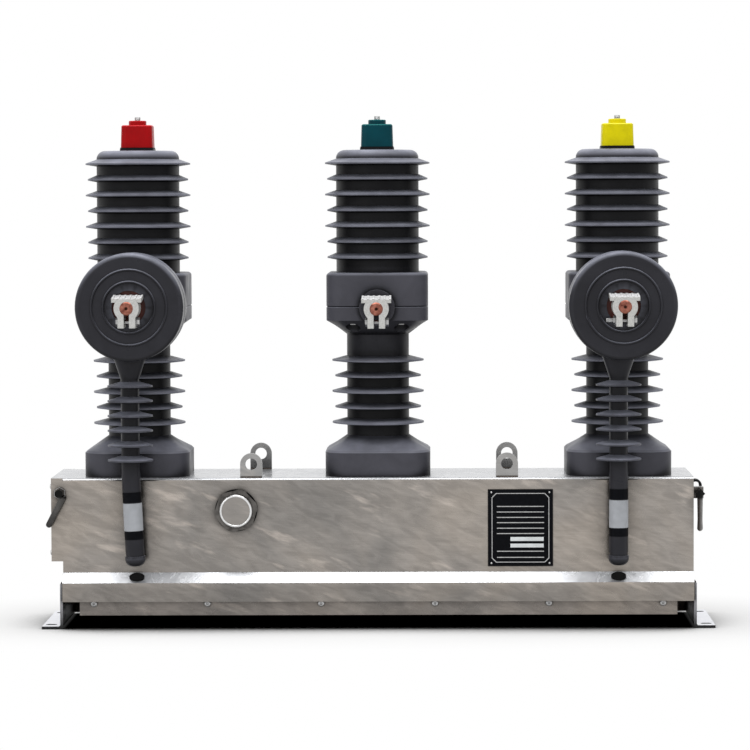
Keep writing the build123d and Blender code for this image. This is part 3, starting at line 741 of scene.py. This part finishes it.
def make_transformer_lines(name):
    """Parting line round the ring transformer's rim, and lines down both sides of its boot."""
    x, z = outlet(name)
    bm = bmesh.new()
    lathe(bm, RIM_LINE, at(x, RIM_LINE_Y, z, FRONT), steps=128, closed=True)
    boot = boot_place(name)
    for side in (-1, 1):
        slab(bm, BOOT_LINE_SIZE, boot @ at(side * BOOT_R, 0, BOOT_LINE_MIDDLE), bevel=0.25)
    make_piece("parting_lines_" + name, bm, "insulator", finish=TRANSFORMER_RUBBER)


def boot_place(name):
    """Top of the boot below the transformer's finned leg, leaning as the boot leans."""
    x, z = outlet(name)
    lean = Matrix.Rotation(math.radians(-BOOT_LEAN[name]), 4, "Y")
    return at(x + LEG_PLACE[0], LEG_PLACE[1], z + LEG_PLACE[2], lean)


def make_boot_label(name):
    """Blank wrap-round label: a pale field between two black bands."""
    for index, (start, length, slot) in enumerate(LABEL_BANDS):
        bm = bmesh.new()
        top = -LABEL_TOP[name] - start
        ring(bm, (BOOT_R + LABEL_PROUD, BOOT_R - LABEL_SUNK), top - length, top, boot_place(name), count=48)
        finish = PALE_FOIL if slot == "clamp_aluminium" else None
        make_piece(f"boot_label_{name}_{index}", bm, slot, finish=finish)


def make_grommet_lip(name):
    """Rolled lip round the oval lead entry."""
    middle = centre_of("lead_grommet_" + name)[0]
    slope = Matrix.Rotation(math.radians(LEDGE_SLOPE), 4, "X")
    place = at(middle.x, middle.y, middle.z, slope)
    bm = bmesh.new()
    lathe(bm, GROMMET_LIP, place, steps=40, stretch=GROMMET_HALF, closed=True)
    make_piece("grommet_lip_" + name, bm, "rubber", crease=60)


def make_pan_screws():
    """Round-headed screws that hold the bottom pan, front and back."""
    bm = bmesh.new()
    for x in PAN_SCREW_X:
        screw_head(bm, at(x, -PAN_HALF_DEPTH, PAN_SCREW_Z, FRONT), **PAN_SCREW)
        screw_head(bm, at(x, PAN_HALF_DEPTH, PAN_SCREW_Z, BACK), **PAN_SCREW)
    make_piece("pan_screws", bm, "bright_steel")


def make_cover_screws():
    """Screws in the corners of the left side cover and in two rows on the right end plate."""
    bm = bmesh.new()
    inset = COVER_SCREW_INSET
    _, low, high = centre_of("left_side_cover")
    for y in (low.y + inset, high.y - inset):
        for z in (low.z + inset, high.z - inset):
            screw_head(bm, at(low.x, y, z, LEFT), **COVER_SCREW)
    _, _, high = centre_of("right_end_plate")
    for y in END_SCREW_Y:
        for z in END_SCREW_Z:
            screw_head(bm, at(high.x, y, z, RIGHT), **COVER_SCREW)
    make_piece("cover_screws", bm, "bright_steel")


def make_lever_nut():
    """Bright facets of the bearing nut behind the operating lever's hub."""
    bm = bmesh.new()
    outer, inner = (hexagon(flats, math.pi / 6) for flats in LEVER_NUT_FLATS)
    band(bm, outer, inner, 0, LEVER_NUT_HEIGHT, at(*LEVER_AXIS, FRONT))
    make_piece("lever_nut_facets", bm, "bright_steel")


def make_port_rings():
    """Black gasket between the cable port's nut and the sheet, and the polished rim of its cap."""
    middle, low, _ = centre_of("cable_port_cap")
    sheet = centre_of("housing_cover")[0].y - HOUSING_HALF_DEPTH
    bm = bmesh.new()
    ring(bm, PORT_GASKET_R, 0, PORT_GASKET_THICK, at(middle.x, sheet, middle.z, FRONT), count=64)
    make_piece("port_gasket", bm, "rubber")
    bm = bmesh.new()
    lathe(bm, PORT_RIM, at(middle.x, low.y, middle.z, FRONT), steps=96, closed=True)
    make_piece("port_rim", bm, "bright_steel", finish=RIM_STEEL, crease=60)


def make_welds():
    """Weld beads at the feet of the lifting eyes and along the tops of the feet."""
    bm = bmesh.new()
    for side in ("front_left", "front_right", "back_left", "back_right"):
        _, low, high = centre_of("lug_" + side)
        start, end = low.x + LUG_WELD_INSET, high.x - LUG_WELD_INSET
        for y in (low.y, high.y):
            weld(bm, (start, y, low.z), (end, y, low.z), LUG_WELD_R)
    make_piece("lug_welds", bm, "bright_steel", finish=WELD_STEEL, crease=80)
    bm = bmesh.new()
    for node, x in (("left_foot", -FOOT_WELD_X), ("right_foot", FOOT_WELD_X)):
        _, low, high = centre_of(node)
        start, end = low.y + FOOT_WELD_INSET, high.y - FOOT_WELD_INSET
        weld(bm, (x, start, high.z), (x, end, high.z), FOOT_WELD_R)
    make_piece("foot_welds", bm, "bright_steel", finish=WELD_STEEL, crease=80)


def make_shade_webs():
    """Dark web plates between the ends of the bottom pan and the legs of the feet, dark sheets that stand for
    the shade under the housing.
    """
    bm = bmesh.new()
    for side, node in ((-1, "left_end_plate"), (1, "right_end_plate")):
        _, low, high = centre_of(node)
        end = low.x if side < 0 else high.x
        width = abs(end) - PAN_END
        x = side * (PAN_END + width / 2)
        slab(bm, (width, WEB_THICK, WEB_TOP - WEB_BOTTOM), at(x, WEB_Y, (WEB_TOP + WEB_BOTTOM) / 2))
    # Dark finish: painted shade under the housing
    make_piece("shade_webs", bm, "stainless_bracket", finish=WELD_STEEL)


def make_nameplate():
    """Square-cornered plate with a border line, ruled empty rows, blank fields and corner rivets."""
    middle, low, high = centre_of("nameplate")
    face = at(middle.x, low.y, middle.z, FRONT)
    width, height, sheet = high.x - low.x, high.z - low.z, high.y - low.y
    bottom = -height / 2
    bm = bmesh.new()
    slab(bm, (width, height, sheet), face @ at(0, 0, -sheet / 2), bevel=0.35)
    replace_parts(make_piece("nameplate_plate", bm, "plate_black"), "nameplate")
    bm = bmesh.new()
    outer, inner = (
        cut_corner_rectangle(width - less, height - less, cut) for less, cut in (BORDER_OUTER, BORDER_INNER)
    )
    band(bm, outer, inner, -0.1, 0.15, face)
    make_piece("nameplate_border", bm, "bright_steel")
    bm = bmesh.new()
    for row in RULE_ROWS:
        slab(bm, RULE_SIZE, face @ at(0, bottom + row, 0), bevel=0.05)
    make_piece("nameplate_rules", bm, "bright_steel")
    bm = bmesh.new()
    for row, tall in BLANK_FIELDS:
        slab(bm, (FIELD_WIDTH, tall, 0.4), face @ at(FIELD_X, bottom + row + tall / 2, 0), bevel=0.05)
    make_piece("nameplate_fields", bm, "clamp_aluminium", finish=WHITE_FIELD)
    bm = bmesh.new()
    rivet_x, rivet_y = width / 2 - RIVET_INSET[0], height / 2 - RIVET_INSET[1]
    for sx in (-1, 1):
        for sy in (-1, 1):
            lathe(bm, RIVET, face @ at(sx * rivet_x, sy * rivet_y, 0), steps=16)
    make_piece("nameplate_rivets", bm, "bright_steel")


def make_detail():
    for name in PHASES:
        make_pad_ribs(name)
        make_washers(name)
        make_threads(name)
        make_cap_seal(name)
    for name in CT_PHASES:
        make_transformer_lines(name)
        make_boot_label(name)
        make_grommet_lip(name)
    make_pan_screws()
    make_cover_screws()
    make_lever_nut()
    make_port_rings()
    make_welds()
    make_shade_webs()
    make_nameplate()


def seen(shader_nodes, links):
    """1 for what the camera, a reflection or clear glass sees, 0 for light that falls on things."""
    path = shader_nodes.new("ShaderNodeLightPath")
    total = path.outputs["Is Camera Ray"]
    for name in ("Is Glossy Ray", "Is Transmission Ray"):
        more = shader_nodes.new("ShaderNodeMath")
        more.operation = "MAXIMUM"
        links.new(total, more.inputs[0])
        links.new(path.outputs[name], more.inputs[1])
        total = more.outputs[0]
    return total


def make_stage():
    """Plain pale floor that keeps the shadow near the breaker, deepened there by painted shadow, and turns
    plain white further out.
    """
    s = Shader("studio_floor", FLOOR_COLOR, rough=1.0, Specular_IOR_Level=0.0)
    nodes, links = s.tree.nodes, s.tree.links
    # Painted shadow: ambient occlusion darkens the floor close to the breaker
    painted_floor_shadow = s.ramp(s.painted_crevice_shade(PAINTED_SHADOW_REACH), (0.42, 0.0), (0.80, 1.0))
    s.color(s.darken(FLOOR_COLOR, painted_floor_shadow))
    place = s.place()
    outside = []
    for letter, half in zip("XY", SHADOW_HALF):
        past = s.number("SUBTRACT", s.number("ABSOLUTE", s.axis(place, letter)), half)
        outside.append(s.number("MAXIMUM", past, 0.0))
    away = s.ramp(s.length(*outside), (0.0, 0.0), (SHADOW_FADE, 1.0))
    factor = s.times(away, seen(nodes, links))
    white = s.node("Emission", Color=(1, 1, 1, 1), Strength=1.0)
    blend = s.node("MixShader", Fac=factor)
    links.new(s.main.outputs[0], blend.inputs[1])
    links.new(white.outputs[0], blend.inputs[2])
    links.new(blend.outputs[0], nodes["Material Output"].inputs["Surface"])
    bm = bmesh.new()
    bmesh.ops.create_grid(bm, x_segments=1, y_segments=1, size=FLOOR_HALF)
    mesh = bpy.data.meshes.new("studio_floor")
    bm.to_mesh(mesh)
    bm.free()
    mesh.materials.append(s.mat)
    floor = bpy.data.objects.new("studio_floor", mesh)
    bpy.context.collection.objects.link(floor)


def make_world():
    """White to the camera and in reflections, and a plain soft fill for everything else."""
    world = bpy.data.worlds.new("studio")
    world.use_nodes = True
    bpy.context.scene.world = world
    nodes, links = world.node_tree.nodes, world.node_tree.links
    fill = nodes["Background"]
    fill.inputs["Color"].default_value = (1, 1, 1, 1)
    fill.inputs["Strength"].default_value = WORLD_FILL
    white = nodes.new("ShaderNodeBackground")
    white.inputs["Color"].default_value = (1, 1, 1, 1)
    white.inputs["Strength"].default_value = 1.0
    blend = nodes.new("ShaderNodeMixShader")
    links.new(seen(nodes, links), blend.inputs[0])
    links.new(fill.outputs[0], blend.inputs[1])
    links.new(white.outputs[0], blend.inputs[2])
    links.new(blend.outputs[0], nodes["World Output"].inputs["Surface"])


def add_lamp(name, place, target, size, power):
    data = bpy.data.lights.new(name, "AREA")
    data.shape = "RECTANGLE"
    data.size, data.size_y = size
    data.energy = power
    lamp = bpy.data.objects.new(name, data)
    lamp.location = place
    lamp.rotation_euler = (Vector(target) - Vector(place)).to_track_quat("-Z", "Y").to_euler()
    lamp.visible_camera = False
    bpy.context.collection.objects.link(lamp)


def make_camera():
    data = bpy.data.cameras.new("camera")
    data.sensor_width = SENSOR_MM
    data.lens = CAMERA_FOCAL_PX / PHOTO_PX * SENSOR_MM
    data.clip_end = 100
    camera = bpy.data.objects.new("camera", data)
    turn = Matrix.Rotation(CAMERA_YAW, 4, "Z") @ Matrix.Rotation(math.pi / 2 - CAMERA_PITCH, 4, "X")
    turn = turn @ Matrix.Rotation(CAMERA_ROLL, 4, "Z")
    camera.matrix_world = Matrix.Translation(CAMERA_PLACE) @ turn
    bpy.context.collection.objects.link(camera)
    bpy.context.scene.camera = camera


make_detail()
make_stage()
make_world()
for lamp in LAMPS:
    add_lamp(*lamp)
make_camera()
bpy.context.scene.view_settings.view_transform = "Standard"
